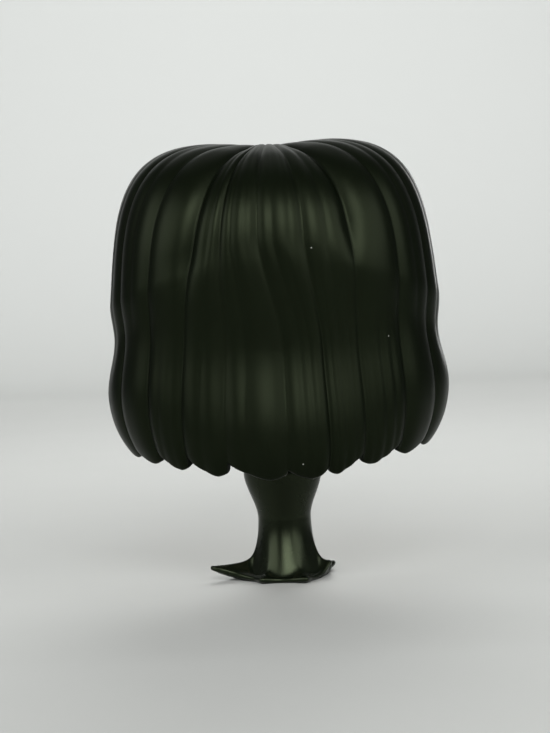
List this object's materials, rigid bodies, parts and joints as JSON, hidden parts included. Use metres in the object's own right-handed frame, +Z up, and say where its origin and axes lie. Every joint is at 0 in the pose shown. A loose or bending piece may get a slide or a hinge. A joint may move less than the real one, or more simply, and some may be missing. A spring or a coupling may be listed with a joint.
{
  "type": "display figure",
  "caption": "Big-headed vinyl display figure: a moulded bob in shells over a hollow head that turns on its neck, above a slim fishtail gown with a pointed hem.",
  "frame": {"origin": "on the head's turning axis, on the floor under the skirt", "axes": "+Z up, +Y the way the face looks, +X towards the figure's right hand"},
  "size_m": [0.0756, 0.0612, 0.0966],
  "materials": {
    "hair": "satin black moulded vinyl",
    "gown": "semi-gloss black moulded vinyl",
    "skin": "matt skin-coloured vinyl"
  },
  "bodies": {
    "body": {"skirt": "gown", "bodice": "gown", "neck_post": "skin", "sleeve_left": "gown", "sleeve_right": "gown", "hand_left": "skin", "hand_right": "skin"},
    "head": {"head_shell": "skin", "hair_back": "hair", "hair_fringe": "hair", "hair_side_left": "hair", "hair_side_right": "hair"}
  },
  "joints": [
    {"name": "head_turn", "type": "hinge", "parent": "body", "child": "head", "pos_m": [0, 0, 0.037], "axis": [0, 0, 1], "continuous": true}
  ]
}
